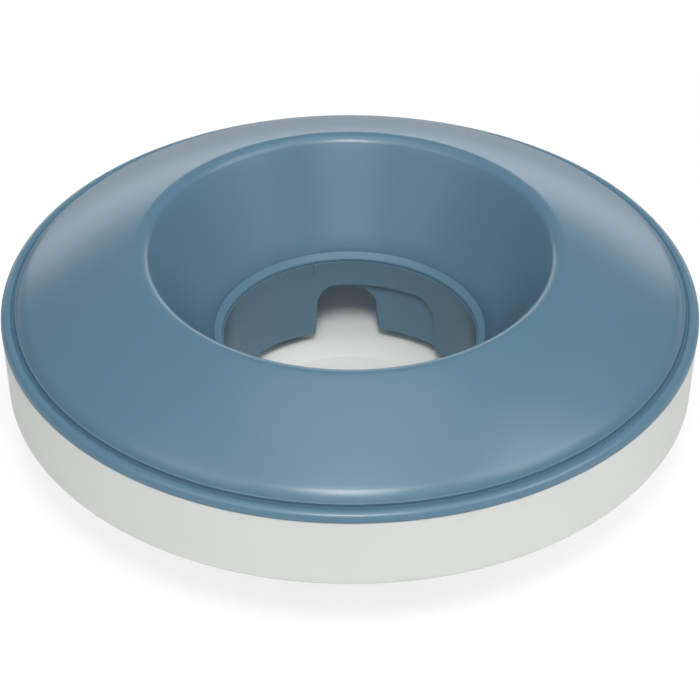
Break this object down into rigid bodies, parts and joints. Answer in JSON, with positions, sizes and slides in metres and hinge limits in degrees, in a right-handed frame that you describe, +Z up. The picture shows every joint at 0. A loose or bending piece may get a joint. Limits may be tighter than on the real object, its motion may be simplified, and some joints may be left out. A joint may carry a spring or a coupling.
{
  "type": "rocking slow feeder bowl",
  "caption": "Round pet bowl that rocks on a rounded underside: a dish, a ring-shaped funnel lid that lifts out, and a turning gate in the throat that sets how fast food comes out.",
  "frame": {"origin": "on the floor under the bowl's centre, at the foot ring's flat face", "axes": "+Z up along the bowl's axis, +Y to the back as seen in the picture, +X to the right"},
  "size_m": [0.2302, 0.2302, 0.0721],
  "materials": {
    "dish_plastic": "fine satin moulded plastic, pale warm grey",
    "foot_rubber": "matt soft rubber, grey",
    "lid_plastic": "satin moulded plastic, muted teal blue",
    "gate_plastic": "satin moulded plastic, muted teal blue, slightly translucent"
  },
  "bodies": {
    "dish": {"base_dish": "dish_plastic", "foot_ring": "foot_rubber"},
    "lid": {"lid_shell": "lid_plastic"},
    "gate": {"gate_ring": "gate_plastic"}
  },
  "joints": [
    {"name": "lid_lift", "type": "slide", "parent": "dish", "child": "lid", "axis": [0, 0, 1], "range_m": [0, 0.06]},
    {"name": "gate_turn", "type": "hinge", "parent": "lid", "child": "gate", "pos_m": [0, 0, 0.036], "axis": [0, 0, 1], "range_deg": [-31, 29]}
  ]
}
